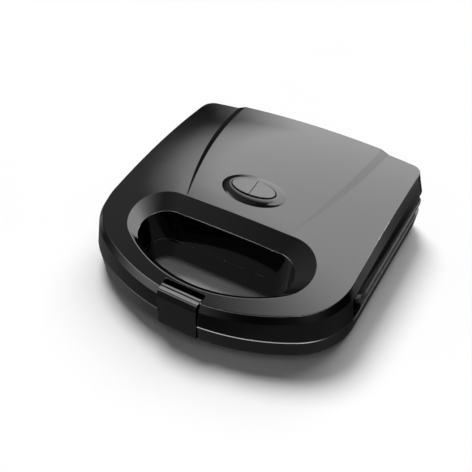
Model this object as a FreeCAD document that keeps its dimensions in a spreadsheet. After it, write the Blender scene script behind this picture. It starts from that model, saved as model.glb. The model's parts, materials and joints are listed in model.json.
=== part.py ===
import FreeCAD, Part
import math
import os

import Sketcher
from FreeCAD import Placement, Rotation, Vector

# Clamshell donut maker with a loop handle.
# Frame: origin on the table under the middle of the appliance, X to its right, Y to its hinge, Z up.
# Lengths are millimetres and angles degrees.

DIMENSIONS = {
    # plan of both housings: a wide front arc, two large front corners, straight sides, a shallow rear arc
    "width": 230,
    "depth": 228,
    "front_arc": 171,
    "front_corner": 55.5,
    "rear_arc": 960,
    "rear_corner": 17,
    # heights above the table
    "base_bottom": 4,
    "seam": 21.8,
    "seam_gap": 0.6,
    "seam_lead": 0.5,
    "parting": 31.75,
    "skirt_bottom": 42,
    # domed top: height = dome_top + dome_rise * y - dome_fall * y^2 - dome_crown * x^2
    "dome_top": 60.23,
    "dome_rise": 0.0952,
    "dome_fall": 0.000882,
    "dome_crown": 0.000292,
    # crease between the sloping facet and the skirt, a parabola in y
    "crease_top": 47.62,
    "crease_rise": 0.0538,
    "crease_fall": 0.000602,
    "crease_inset": 3,
    "edge_inset": 6.9,
    "rear_crease_inset": 0.3,
    "rear_edge_inset": 1.3,
    "skirt_flare": 6.2,
    "flare_reach": 60,
    # housing walls
    "wall": 2.5,
    "handle_wall": 2.2,
    "base_foot_inset": 3.2,
    "base_knee_inset": 1.5,
    "base_knee": 1.8,
    # raised middle panel of the lid
    "panel_front": -24.5,
    "panel_rear": 118,
    "panel_height": 2.6,
    "panel_foot_half": 75.5,
    "panel_foot_taper": 28.2,
    "panel_top_half": 68.5,
    "panel_top_taper": 21.8,
    "panel_lead": 1,
    # handle opening: a D with an arc in front, inside a bevelled border
    "border_half": 80.5,
    "border_front": -97.5,
    "border_rear": -25,
    "grip_half": 67,
    "grip_front": -92.3,
    "grip_rear": -40.3,
    "grip_arc": 117,
    "border_drop": 4.6,
    "grip_draft_seam": 3.5,
    "grip_draft_foot": 6.5,
    "block_rear": -50,
    # edge rounding on the lid
    "edge_round": 1,
    "border_round": 0.8,
    "grip_round": 0.8,
    # cooking plates
    "plate_half": 115,
    "plate_front": -38,
    "plate_rear": 101.5,
    "plate_corner": 9,
    "plate_skirt": 9.75,
    "plate_flare": 3,
    "plate_wall": 2,
    "plate_gap": 0.1,
    "plate_pilot": 6,
    "plate_sink": 3,
    "plate_deck": 2.8,
    "plate_lip": 4,
    "lip_height": 0.5,
    "rim_height": 1.2,
    "rim_round": 0.5,
    "ring_pitch_x": 70,
    "ring_pitch_y": 63,
    "ring_radius": 18.5,
    "ring_tube": 10,
    "ring_shell": 1.7,
    "stud_x": 35,
    "stud_radius": 4,
    # heating elements and the trays behind them
    "element_radius": 2.8,
    "element_gap": 0.3,
    "element_half": 94,
    "element_front": -24,
    "element_rear": 90,
    "element_bend": 14,
    "element_end": 25,
    "bead_radius": 2.6,
    "bead_long": 4,
    "blade_out": 8,
    "blade_long": 9,
    "blade_wide": 4,
    "blade_thick": 0.8,
    "strap_half": 6,
    "strap_front": 3,
    "strap_rear": 7,
    "strap_sheet": 0.8,
    "tray_half": 97.6,
    "tray_front": -27.6,
    "tray_rear": 94,
    "tray_sheet": 0.5,
    "tray_height": 5,
    "tray_offset": 1,
    "tray_hole_gap": 0.6,
    # hinges
    "hinge_y": 107,
    "hinge_x": 66,
    "knuckle_radius": 4.4,
    "knuckle_length": 12,
    "arm_length": 8,
    "hinge_gap": 0.4,
    "hinge_pin": 2,
    "hinge_fit": 0.08,
    "pin_end": 1,
    "pin_head": 1.2,
    "pin_head_radius": 3.2,
    "leaf": 2.6,
    "leaf_y": 102.3,
    "leaf_foot": 12,
    "leaf_screw_back": 6,
    "bridge": 2.5,
    "bridge_width": 8,
    "arm_screw": 5,
    "arm_screw_back": 2,
    "shelf_front": 97,
    "slot_gap": 0.5,
    # latch
    "latch_half": 17,
    "latch_gap": 0.8,
    "latch_y": -105,
    "latch_z": 37.9,
    "latch_barrel": 3.6,
    "latch_pin": 1.4,
    "latch_fit": 0.08,
    "latch_rest": 2.5,
    "latch_face": -112.6,
    "latch_sheet": 2.2,
    "latch_shoulder": 35.5,
    "latch_hump_y": -110.6,
    "latch_hump_z": 40.9,
    "latch_foot": 6.4,
    "latch_hook_y": -109.2,
    "latch_hook_z": 9.4,
    "notch_rear": -99,
    "notch_floor": -108.3,
    "notch_step": 33.9,
    "catch_front": -110.1,
    "catch_half": 15,
    "catch_bottom": 11.2,
    "catch_top": 14,
    "catch_root": 0.5,
    # indicator: two half lenses inside a raised ring, in a frame square to the panel
    "lens_y": 2.9,
    "lens_long": 19.5,
    "lens_short": 8.1,
    "lens_gap": 1,
    "lens_proud": 1.3,
    "lens_crown": 400,
    "lens_round": 0.3,
    "lens_split": 0.25,
    "bezel_width": 7.6,
    "bezel_height": 2.2,
    "bezel_narrow": 0.875,
    "bezel_root": 1.2,
    "pad_depth": 3,
    "flange": 0.95,
    "flange_reach": 2,
    # lamp box behind the lenses
    "lamp_box_long": 23,
    "lamp_box_short": 10,
    "lamp_box_depth": 3.9,
    "lamp_box_wall": 1.2,
    "lamp_box_floor": 0.8,
    "lamp_radius": 1.3,
    "lamp_length": 11,
    "lamp_tip": 5,
    # feet and screws
    "foot_x": 85,
    "foot_front": -62,
    "foot_rear": 84,
    "foot_radius": 8,
    "boss_radius": 4.6,
    "screw_shank": 1.5,
    "screw_head": 3,
    "screw_head_height": 1.8,
    "screw_fit": 0.06,
    "screw_point": 1,
    "short_screw": 7,
    "tall_screw": 11,
    "leaf_screw": 4.4,
    "head_room": 0.4,
    "cross_half": 1.6,
    "cross_side": 0.35,
    "cross_depth": 0.9,
    "pilot": 5,
    "pilot_skin": 0.4,
    "foot_boss": 7,
    "foot_pilot": 6,
    "foot_sink": 2.4,
    "foot_flare": 0.6,
    "foot_chamfer": 0.8,
    "stud_boss": 5.6,
    "stud_boss_radius": 5.6,
    "stud_sink": 3.4,
    # cord outlet
    "outlet_x": 52,
    "outlet_z": 13.5,
    "outlet_bore": 3.6,
    "outlet_radius": 5.6,
    "outlet_hole": 4.6,
    "gland_collar": 1.4,
    "gland_groove": 1.1,
    "gland_length": 6,
    "gland_flange": 1,
    "gland_back": 0.3,
    # electrical parts
    "thermostat_long": 18,
    "thermostat_wide": 12,
    "tab_long": 30,
    "tab_wide": 5,
    "tab_sheet": 0.8,
    "tab_level": 2,
    "case_gap": 0.1,
    "fuse_radius": 2.2,
    "fuse_length": 18,
    "fuse_x": 8,
    "fuse_back": 6,
    "fuse_lift": 3,
    "block_long": 24,
    "block_side": 9,
    "block_left": -30,
    "block_back": 1.5,
    "well_radius": 1.8,
    "well_pitch": 8,
    "well_lift": 5,
    "lead_radius": 0.9,
    "lead_bend": 1.6,
    "lead_in": 12,
    "lead_reach": 14,
    "lead_lift": 1,
    "lead_level": 11,
}

SAMPLES = 15
CAP = 66
FAR = 150
OVERLAP = 1
NEAR = 0.02
SKIN = 0.05
BEZEL_STEPS = 5

doc = FreeCAD.newDocument("donut_maker")
sheet = doc.addObject("Spreadsheet::Sheet", "dims")
for row, (alias, value) in enumerate(DIMENSIONS.items(), start=1):
    sheet.set(f"A{row}", alias)
    sheet.set(f"B{row}", str(value))
    sheet.setAlias(f"B{row}", alias)
doc.recompute()

finished = []


def mm(alias):
    """A driving dimension, read from the sheet."""
    return float(sheet.get(alias))


def flat(value):
    """A function of place that is the same everywhere."""
    return lambda *place: value


# ---------------------------------------------------------------- plans, rings and ruled solids

def arc(centre_x, centre_y, radius, start, end):
    """Points of an arc with their outward normals; angles in radians."""
    points = []
    for step in range(SAMPLES):
        angle = start + (end - start) * step / (SAMPLES - 1)
        nx, ny = math.cos(angle), math.sin(angle)
        points.append((centre_x + radius * nx, centre_y + radius * ny, nx, ny))
    return points


def straight(x0, y0, x1, y1):
    """Points of a straight stretch with their outward normals."""
    length = math.hypot(x1 - x0, y1 - y0)
    nx, ny = (y1 - y0) / length, (x0 - x1) / length
    points = []
    for step in range(SAMPLES):
        part = step / (SAMPLES - 1)
        points.append((x0 + (x1 - x0) * part, y0 + (y1 - y0) * part, nx, ny))
    return points


def housing_plan():
    """Outline of the closed appliance seen from above, anticlockwise from the front arc."""
    half = mm("width") / 2
    front_r, corner = mm("front_arc"), mm("front_corner")
    front_centre = front_r - mm("depth") / 2
    corner_x = half - corner
    corner_y = front_centre - math.sqrt((front_r - corner) ** 2 - corner_x ** 2)
    meet = math.atan2(corner_y - front_centre, corner_x)
    rear_r, rear_corner = mm("rear_arc"), mm("rear_corner")
    rear_centre = mm("depth") / 2 - rear_r
    rear_x = half - rear_corner
    rear_y = rear_centre + math.sqrt((rear_r - rear_corner) ** 2 - rear_x ** 2)
    turn = math.atan2(rear_y - rear_centre, rear_x)
    return [
        arc(0, front_centre, front_r, -math.pi - meet, meet),
        arc(corner_x, corner_y, corner, meet, 0),
        straight(half, corner_y, half, rear_y),
        arc(rear_x, rear_y, rear_corner, 0, turn),
        arc(0, rear_centre, rear_r, turn, math.pi - turn),
        arc(-rear_x, rear_y, rear_corner, math.pi - turn, math.pi),
        straight(-half, rear_y, -half, corner_y),
        arc(-corner_x, corner_y, corner, math.pi, math.pi - meet),
    ]


def bow_plan(half, front, rear, radius):
    """A D with its arc in front, tangent corners and a straight rear side."""
    centre = front + radius
    reach = rear - centre
    middle = 2 * (radius - half - reach)
    corner = (math.sqrt(middle ** 2 - 4 * (half ** 2 + reach ** 2 - radius ** 2)) - middle) / 2
    x, y = half - corner, rear - corner
    meet = math.atan2(y - centre, x)
    return [
        arc(0, centre, radius, -math.pi - meet, meet),
        arc(x, y, corner, meet, math.pi / 2),
        straight(x, rear, -x, rear),
        arc(-x, y, corner, math.pi / 2, math.pi - meet),
    ]


def oblong_plan(half, front, rear, corner):
    """A rectangle with rounded corners."""
    x, low, high = half - corner, front + corner, rear - corner
    quarter = math.pi / 2
    return [
        straight(-x, front, x, front),
        arc(x, low, corner, -quarter, 0),
        straight(half, low, half, high),
        arc(x, high, corner, 0, quarter),
        straight(x, rear, -x, rear),
        arc(-x, high, corner, quarter, 2 * quarter),
        straight(-half, high, -half, low),
        arc(-x, low, corner, 2 * quarter, 3 * quarter),
    ]


def panel_plan(half, taper, front):
    """Sides of the raised panel: parabolas that open towards the hinge."""
    rear = mm("panel_rear")

    def side(sign, order):
        points = []
        for step in order:
            part = step / (SAMPLES - 1)
            x = half - taper * (1 - part) ** 2
            points.append((sign * x, front + (rear - front) * part, 0, 0))
        return points

    forward, back = range(SAMPLES), range(SAMPLES - 1, -1, -1)
    near, far = half - taper, half
    return [
        straight(-near, front, near, front),
        side(1, forward),
        straight(far, rear, -far, rear),
        side(-1, back),
    ]


def ring(plan, inset, height):
    """Closed loop of edges: a plan moved inwards by inset and lifted to height, both by place."""
    edges = []
    for stretch in plan:
        points = []
        for x, y, nx, ny in stretch:
            step = inset(x, y, nx, ny)
            px, py = x - nx * step, y - ny * step
            points.append(Vector(px, py, height(px, py)))
        curve = Part.BSplineCurve()
        even = [index / (SAMPLES - 1) for index in range(SAMPLES)]
        curve.interpolate(Points=points, Parameters=even)
        edges.append(curve.toShape())
    return edges


def ruled_solid(rings):
    """Solid whose sides are ruled from each ring to the next; the first and last rings are flat."""
    faces = [Part.Face(Part.Wire(rings[0])), Part.Face(Part.Wire(rings[-1]))]
    for low, high in zip(rings, rings[1:]):
        for edge_low, edge_high in zip(low, high):
            faces.append(Part.makeRuledSurface(edge_low, edge_high))
    shell = Part.makeShell(faces)
    shell.sewShape()
    solid = Part.makeSolid(shell)
    if solid.Volume < 0:
        solid.reverse()
    return solid


def box(x0, x1, y0, y1, z0, z1):
    """Block between two corners."""
    return Part.makeBox(x1 - x0, y1 - y0, z1 - z0, Vector(x0, y0, z0))


def rod(x, y, z0, z1, radius):
    """Upright cylinder."""
    return Part.makeCylinder(radius, z1 - z0, Vector(x, y, z0))


def rounded_wire(points, radii, closed=False):
    """Straight runs joined by tangent arcs, with one radius for each point."""
    count = len(points)
    corners = range(count) if closed else range(1, count - 1)
    cuts = {}
    for index in corners:
        here, before, after = points[index], points[index - 1], points[(index + 1) % count]
        back, ahead = (before - here).normalize(), (after - here).normalize()
        radius, half_angle = radii[index], back.getAngle(ahead) / 2
        trim = radius / math.tan(half_angle)
        middle = (back + ahead).normalize()
        centre = here + middle * (radius / math.sin(half_angle))
        cuts[index] = (here + back * trim, centre - middle * radius, here + ahead * trim)
    edges = []
    for index in range(count if closed else count - 1):
        following = (index + 1) % count
        start = cuts[index][2] if index in cuts else points[index]
        end = cuts[following][0] if following in cuts else points[following]
        edges.append(Part.LineSegment(start, end).toShape())
        if following in cuts:
            edges.append(Part.Arc(*cuts[following]).toShape())
    return Part.Wire(edges)


def tube(points, bend, radius):
    """Round bar along straight runs and bends."""
    path = rounded_wire(points, [bend] * len(points))
    circle = Part.makeCircle(radius, points[0], points[1] - points[0])
    return path.makePipeShell([Part.Wire(circle)], True, False)


# ---------------------------------------------------------------- document objects

def shaped(name, shape, place=None):
    """Sub-part whose shape is computed rather than drawn."""
    item = doc.addObject("Part::Feature", name)
    item.Label = name
    item.Shape = shape
    item.Placement = place or Placement()
    finished.append(item)
    return item


def primitive(kind, name, sizes, place=("0", "0", "0"), turn=None):
    """Part primitive with its sizes and position bound to the sheet."""
    item = doc.addObject("Part::" + kind, name)
    if turn is not None:
        item.Placement = Placement(Vector(), turn)
    for prop, text in sizes.items():
        item.setExpression(prop, text)
    for letter, text in zip("xyz", place):
        item.setExpression("Placement.Base." + letter, text)
    return item


def joined(name, pieces):
    """Fusion of bound primitives."""
    item = doc.addObject("Part::MultiFuse", name)
    item.Shapes = pieces
    return item


def cut(name, base, tool):
    """Bound cut."""
    item = doc.addObject("Part::Cut", name)
    item.Base = base
    item.Tool = tool
    return item


def finish(item, name):
    """Name a bound object as a sub-part."""
    item.Label = name
    finished.append(item)
    return item


def polygon_sketch(body, plane_role, corners):
    """Closed polygon whose corners are tied to the sheet, on one of the body's origin planes."""
    sketch = body.newObject("Sketcher::SketchObject", body.Name + "_profile")
    plane = [item for item in body.Origin.OriginFeatures if item.Role == plane_role][0]
    sketch.AttachmentSupport = [(plane, "")]
    sketch.MapMode = "FlatFace"
    count = len(corners)
    start = []
    for index in range(count):
        angle = 2 * math.pi * index / count
        start.append(Vector(20 + 10 * math.cos(angle), 10 * math.sin(angle), 0))
    for index in range(count):
        sketch.addGeometry(Part.LineSegment(start[index], start[(index + 1) % count]), False)
    for index in range(count):
        sketch.addConstraint(Sketcher.Constraint("Coincident", index, 2, (index + 1) % count, 1))
    for index, pair in enumerate(corners):
        for letter, text, kind in zip("xy", pair, ("DistanceX", "DistanceY")):
            name = f"{letter}{index}"
            number = sketch.addConstraint(Sketcher.Constraint(kind, -1, 1, index, 1, 1.0))
            sketch.renameConstraint(number, name)
            sketch.setExpression("Constraints." + name, text)
    return sketch


def turned_body(name, corners):
    """Body of revolution about Z; corners are (radius, height) pairs of sheet expressions."""
    body = doc.addObject("PartDesign::Body", name + "_body")
    sketch = polygon_sketch(body, "XZ_Plane", corners)
    doc.recompute()
    turn = body.newObject("PartDesign::Revolution", name + "_turn")
    turn.Profile = sketch
    turn.ReferenceAxis = (sketch, ["V_Axis"])
    turn.Angle = 360
    doc.recompute()
    return body


# ---------------------------------------------------------------- surfaces of the lid

def dome(x, y):
    """Height of the lid's outer surface beside the panel."""
    return mm("dome_top") + mm("dome_rise") * y - mm("dome_fall") * y ** 2 - mm("dome_crown") * x ** 2


def panel_lift(y):
    """Height of the raised panel above the dome."""
    front, rear = mm("panel_front"), mm("panel_rear")
    part = (y - front) / (rear - front)
    return mm("panel_height") * part * (2 - part)


def panel(x, y):
    """Height of the panel's surface."""
    return dome(x, y) + panel_lift(y)


def crease(x, y):
    """Height of the crease under the sloping facet."""
    return mm("crease_top") + mm("crease_rise") * y - mm("crease_fall") * y ** 2


def under(surface, drop):
    """Everything under a surface of second degree, lowered by drop."""
    grid = (-FAR, 0, FAR)
    patch = Part.BezierSurface()
    patch.increase(2, 2)
    centre = surface(0, 0)
    for i, x in enumerate(grid):
        for j, y in enumerate(grid):
            if x and y:
                z = surface(x, 0) + surface(0, y) - centre
            elif x or y:
                z = surface(x, y)
            else:
                z = centre
            # the middle control of a parabola lies where its end tangents meet
            if not x:
                z += centre - surface(FAR, 0)
            if not y:
                z += centre - (surface(0, FAR) + surface(0, -FAR)) / 2
            patch.setPole(i + 1, j + 1, Vector(x, y, z - drop))
    return patch.toShape().extrude(Vector(0, 0, -2 * FAR))


def towards_rear(side, rear, ny):
    """A value that turns from side to rear as the outline comes round to face the hinge."""
    share = max(ny, 0) ** 2
    return side + (rear - side) * share


def crease_inset(x, y, nx, ny):
    """Inset of the crease: the lid's rear wall stands nearly upright."""
    return towards_rear(mm("crease_inset"), mm("rear_crease_inset"), ny)


def facet_inset(cap):
    """Inset at height cap of the facet that leans in from the crease to the dome's edge."""
    def inset(x, y, nx, ny):
        edge, low = towards_rear(mm("edge_inset"), mm("rear_edge_inset"), ny), crease_inset(x, y, nx, ny)
        top = dome(x - nx * edge, y - ny * edge)
        base = crease(x, y)
        return low + (edge - low) * (cap - base) / (top - base)
    return inset


def skirt_inset(x, y, nx, ny):
    """Inset of the skirt's line at seam height: its sides flare out behind the handle."""
    reach = min(max((y - mm("block_rear")) / mm("flare_reach"), 0), 1)
    return -towards_rear(mm("skirt_flare"), 0, ny) * reach * reach * (3 - 2 * reach)


def shifted(inset, more):
    """An inset rule moved inwards."""
    return lambda *place: inset(*place) + more


def rounded(solid, radius, chosen):
    """The solid with every edge rounded whose middle point is chosen."""
    edges = []
    for edge in solid.Edges:
        if edge.Degenerated:
            continue
        if chosen(edge.valueAt((edge.FirstParameter + edge.LastParameter) / 2)):
            edges.append(edge)
    return solid.makeFillet(radius, edges)


def above_dome(point):
    """Height of a point above the dome."""
    return point.z - dome(point.x, point.y)


def lid_block(more, bottom, drop):
    """Lid envelope moved inwards by more, from bottom up to the dome and panel lowered by drop."""
    plan, lead = housing_plan(), mm("seam_lead")
    body = ruled_solid([
        ring(plan, shifted(skirt_inset, more + lead), flat(bottom)),
        ring(plan, shifted(skirt_inset, more), flat(bottom + lead)),
        ring(plan, shifted(crease_inset, more), lambda x, y: crease(x, y) - drop / 2),
        ring(plan, shifted(facet_inset(CAP), more), flat(CAP)),
    ])
    foot = panel_plan(mm("panel_foot_half"), mm("panel_foot_taper"), mm("panel_front"))
    top = panel_plan(mm("panel_top_half"), mm("panel_top_taper"), mm("panel_front") + mm("panel_lead"))
    raised = ruled_solid([
        ring(foot, flat(0), flat(mm("skirt_bottom"))),
        ring(foot, flat(0), lambda x, y: dome(x, y) - drop),
        ring(top, flat(0), lambda x, y: panel(x, y) - drop),
        ring(top, flat(0), flat(2 * CAP)),
    ])
    low = body.common(under(dome, drop))
    if not more:
        low = rounded(low, mm("edge_round"), lambda point: abs(above_dome(point)) < NEAR)
    high = body.common(under(panel, drop)).common(raised)
    return low.fuse(high)


def grip_block(grow, drop):
    """Handle opening with its bevelled border, widened by grow and lowered by drop."""
    border = bow_plan(mm("border_half"), mm("border_front"), mm("border_rear"), mm("grip_arc"))
    grip = bow_plan(mm("grip_half"), mm("grip_front"), mm("grip_rear"), mm("grip_arc"))
    return ruled_solid([
        ring(grip, flat(mm("grip_draft_foot") - grow), flat(0)),
        ring(grip, flat(mm("grip_draft_seam") - grow), flat(mm("seam"))),
        ring(grip, flat(-grow), lambda x, y: dome(x, y) - mm("border_drop") - drop),
        ring(border, flat(-grow), lambda x, y: dome(x, y) + SKIN - drop),
        ring(border, flat(-grow), flat(2 * CAP)),
    ])


def notch_block(grow):
    """Slot in both housings in which the latch lies."""
    side = mm("latch_half") + mm("latch_gap") + grow
    chamber = box(-side, side, -FAR, mm("notch_rear") + grow, mm("notch_step") - grow, CAP)
    slot = box(-side, side, -FAR, mm("notch_floor") + grow, 0, CAP)
    return chamber.fuse(slot)


def indicator_place():
    """Frame of the indicator: on the panel's surface and square to it."""
    y = mm("lens_y")
    slope = (panel(0, y + 1) - panel(0, y - 1)) / 2
    return Placement(Vector(0, y, panel(0, y)), Rotation(Vector(1, 0, 0), math.degrees(math.atan(slope))))


def placed(shape, place):
    """The shape moved to a frame."""
    shape.Placement = place
    return shape


def oval(more, low, high):
    """Elliptical block in the indicator's frame, as wide as the lens and more."""
    curve = Part.Ellipse(Vector(0, 0, low), mm("lens_long") + more, mm("lens_short") + more).toShape()
    return Part.Face(Part.Wire(curve)).extrude(Vector(0, 0, high - low))


def bezel():
    """Raised ring's block in the indicator's frame: its profile is an arc that ends level at the rim."""
    width, height, gap = mm("bezel_width"), mm("bezel_height"), mm("lens_gap")
    turn = 2 * math.atan(height / width)
    radius = width / math.sin(turn)
    root = mm("bezel_root")
    profile = [(width + root / math.tan(turn), -root)]
    for step in range(BEZEL_STEPS):
        angle = turn * (1 - step / (BEZEL_STEPS - 1))
        profile.append((radius * math.sin(angle), radius * (math.cos(angle) - math.cos(turn))))
    sections = []
    for out, up in profile:
        long_half = mm("lens_long") + gap + out
        short_half = mm("lens_short") + gap + out * mm("bezel_narrow")
        sections.append(Part.Wire(Part.Ellipse(Vector(0, 0, up), long_half, short_half).toShape()))
    return Part.makeLoft(sections, True, False)


# ---------------------------------------------------------------- housings

FEET = {}
for along, y_name in (("front", "foot_front"), ("rear", "foot_rear")):
    for across, sign in (("left", -1), ("right", 1)):
        FEET[f"{along}_{across}"] = (sign, y_name)

PLATE_MIDDLE = (mm("plate_front") + mm("plate_rear")) / 2


def feet_places():
    return [(sign * mm("foot_x"), mm(y_name)) for sign, y_name in FEET.values()]


def stud_places():
    return [(sign * mm("stud_x"), PLATE_MIDDLE) for sign in (-1, 1)]


def hinge_places():
    return [("left", -mm("hinge_x")), ("right", mm("hinge_x"))]


def arm_screw_places():
    y = mm("leaf_y") - mm("arm_screw_back")
    return [(x + sign * mm("arm_screw"), y) for _, x in hinge_places() for sign in (-1, 1)]


def hinge_span():
    """Length of a hinge over both of the arm's knuckles."""
    return mm("knuckle_length") + 2 * (mm("hinge_gap") + mm("arm_length"))


def hinge_slots(half):
    """Slots in the shelves behind the plates for the hinge webs."""
    gap = mm("slot_gap")
    front, rear = mm("leaf_y") - gap, mm("leaf_y") + mm("leaf") + gap
    level = mm("base_bottom") + 2 * mm("wall")
    slots = [box(x - half - gap, x + half + gap, front, rear, level, mm("skirt_bottom") + 3)
             for _, x in hinge_places()]
    return slots[0].fuse(slots[1:])


def upper_housing():
    """Lid shell: domed top, sloping facet, skirt, upper half of the loop handle."""
    seam = mm("seam") + mm("seam_gap") / 2
    wall, thin = mm("wall"), mm("handle_wall")
    outside = lid_block(0, seam, 0)
    border = grip_block(thin, thin)
    plate_space = box(-FAR, FAR, mm("block_rear"), FAR, 0, mm("skirt_bottom"))
    behind = box(-FAR, FAR, mm("block_rear") - OVERLAP, FAR, seam, mm("skirt_bottom") + OVERLAP)
    shell = outside.cut(plate_space).fuse(border.common(behind))
    inside = lid_block(wall, seam + thin, wall)
    partition = box(-FAR, FAR, mm("block_rear") - thin, mm("block_rear"), 0, mm("skirt_bottom") + thin)
    inside = inside.cut(border).cut(partition).cut(notch_block(thin))
    inside = inside.cut(box(-FAR, FAR, mm("shelf_front"), FAR, 0, mm("skirt_bottom") + thin))
    place = indicator_place()
    inside = inside.cut(placed(oval(2 * mm("flange_reach"), -mm("pad_depth"), CAP), place))
    shell = shell.cut(inside).cut(grip_block(0, 0)).cut(notch_block(0))
    shell = shell.fuse(placed(bezel(), place))
    shell = shell.cut(placed(oval(mm("lens_gap"), -2 * mm("pad_depth"), CAP), place))
    reach = mm("latch_pin_half") + mm("slot_gap")
    pivot = Vector(-reach, mm("latch_y"), mm("latch_z"))
    shell = shell.cut(Part.makeCylinder(mm("latch_pin"), 2 * reach, pivot, Vector(1, 0, 0)))
    top = under(dome, wall / 2)
    for x, y in stud_places():
        boss = rod(x, y, mm("upper_stud_top"), CAP, mm("boss_radius"))
        pilot = rod(x, y, 0, mm("upper_stud_top") + mm("pilot"), mm("screw_shank") + mm("screw_fit"))
        shell = shell.fuse(boss.common(top)).cut(pilot)
    level = mm("skirt_bottom")
    for x, y in arm_screw_places():
        low, high = level + mm("pilot_skin"), level + mm("pilot")
        shell = shell.cut(rod(x, y, low, high, mm("screw_shank") + mm("screw_fit")))
    shell = shell.cut(hinge_slots(hinge_span() / 2)).Solids[0]

    front, rear = mm("border_front") - OVERLAP, mm("border_rear") + OVERLAP

    def beside_grip(point):
        return abs(point.x) < mm("border_half") + OVERLAP and front < point.y < rear

    shell = rounded(shell, mm("border_round"),
                    lambda point: beside_grip(point) and abs(above_dome(point)) < NEAR)
    return rounded(shell, mm("grip_round"),
                   lambda point: beside_grip(point) and abs(above_dome(point) + mm("border_drop")) < 4 * NEAR)


def lower_housing():
    """Base shell: tub, lower half of the loop handle and the catch for the latch."""
    seam = mm("seam") - mm("seam_gap") / 2
    bottom = mm("base_bottom")
    wall, thin = mm("wall"), mm("handle_wall")
    plan = housing_plan()
    lead, knee = mm("seam_lead"), mm("base_knee_inset")
    outside = ruled_solid([
        ring(plan, flat(mm("base_foot_inset")), flat(bottom)),
        ring(plan, flat(knee), flat(bottom + mm("base_knee"))),
        ring(plan, flat(0), flat(seam - lead)),
        ring(plan, flat(lead), flat(seam)),
    ])
    inside = ruled_solid([
        ring(plan, flat(wall + knee), flat(bottom + wall)),
        ring(plan, flat(wall), flat(CAP)),
    ])
    deck = box(-FAR, FAR, -FAR, mm("plate_front") - thin, seam - thin, CAP)
    shelf = box(-FAR, FAR, mm("shelf_front"), FAR, seam - thin, CAP)
    inside = inside.cut(grip_block(thin, 0)).cut(deck).cut(shelf).cut(notch_block(thin))
    shell = outside.cut(inside).cut(hinge_slots(mm("knuckle_length") / 2))
    floor = bottom + wall / 2
    screw_hole = mm("screw_shank") + mm("screw_fit")
    for x, y in feet_places():
        shell = shell.fuse(rod(x, y, floor, bottom + mm("foot_boss"), mm("boss_radius")))
        shell = shell.cut(rod(x, y, 0, bottom + mm("foot_pilot"), screw_hole))
    for x, y in stud_places():
        shell = shell.fuse(rod(x, y, floor, bottom + mm("stud_boss"), mm("stud_boss_radius")))
        shell = shell.cut(rod(x, y, 0, CAP, screw_hole))
        shell = shell.cut(rod(x, y, 0, bottom + mm("stud_sink"), mm("screw_head") + mm("head_room")))
    for _, x in hinge_places():
        shell = shell.cut(rod(x, mm("leaf_y") - mm("leaf_screw_back"), 0, CAP, screw_hole))
    shell = shell.cut(grip_block(0, 0)).cut(notch_block(0))
    catch = box(-mm("catch_half"), mm("catch_half"), mm("catch_front"), mm("notch_floor") + mm("catch_root"),
                mm("catch_bottom"), mm("catch_top"))
    inlet = Vector(mm("outlet_x"), mm("tray_rear") + OVERLAP, mm("outlet_z"))
    outlet = Part.makeCylinder(mm("outlet_hole"), FAR, inlet, Vector(0, 1, 0))
    return shell.fuse(catch).cut(outlet).removeSplitter()


# ---------------------------------------------------------------- cooking plates and heating

def plate_shape():
    """Lower cooking plate: flared tray with six half-ring cavities, cooking side up."""
    top = mm("parting") - mm("plate_gap")
    foot = top - mm("plate_skirt")
    deck = top - mm("lip_height")
    plan = oblong_plan(mm("plate_half"), mm("plate_front"), mm("plate_rear"), mm("plate_corner"))
    flare, wall, lip = mm("plate_flare"), mm("plate_wall"), mm("plate_lip")
    rim, soft = mm("rim_height"), mm("rim_round")
    tray = ruled_solid([
        ring(plan, flat(flare), flat(foot)),
        ring(plan, flat(2 * soft), flat(top - rim - 2 * soft)),
        ring(plan, flat(0), flat(top - rim)),
        ring(plan, flat(0), flat(top - soft)),
        ring(plan, flat(soft), flat(top)),
    ])
    hollow = ruled_solid([
        ring(plan, flat(flare + wall), flat(foot - OVERLAP)),
        ring(plan, flat(wall + 2 * soft), flat(deck - mm("plate_deck"))),
    ])
    recess = ruled_solid([
        ring(plan, flat(lip + soft), flat(deck)),
        ring(plan, flat(lip - soft), flat(top + soft)),
    ])
    plate = tray.cut(hollow).cut(recess)
    radius, bore = mm("ring_radius"), mm("ring_tube")
    bulges, moulds = [], []
    for column in (-1, 0, 1):
        for row in (-1, 1):
            centre = Vector(column * mm("ring_pitch_x"), PLATE_MIDDLE + row * mm("ring_pitch_y") / 2, deck)
            bulges.append(Part.makeTorus(radius, bore + mm("ring_shell"), centre))
            moulds.append(Part.makeTorus(radius, bore, centre))
    below = box(-FAR, FAR, -FAR, FAR, 0, deck - OVERLAP)
    plate = plate.fuse([bulge.common(below) for bulge in bulges])
    studs = [rod(x, y, mm("lower_stud_bottom"), deck - OVERLAP, mm("stud_radius")) for x, y in stud_places()]
    return plate.fuse(studs).cut(moulds).removeSplitter()


def upside_down(shape):
    """Mirror image in the parting plane."""
    return shape.mirror(Vector(0, 0, mm("parting")), Vector(0, 0, 1))


def element_shape():
    """Tubular heater bent round under the rings, its ends at the rear."""
    level = mm("element_level")
    half, front, rear = mm("element_half"), mm("element_front"), mm("element_rear")
    corners = [(-mm("element_end"), rear), (-half, rear), (-half, front), (half, front), (half, rear),
               (mm("element_end"), rear)]
    points = [Vector(x, y, level) for x, y in corners]
    return tube(points, mm("element_bend"), mm("element_radius"))


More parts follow.
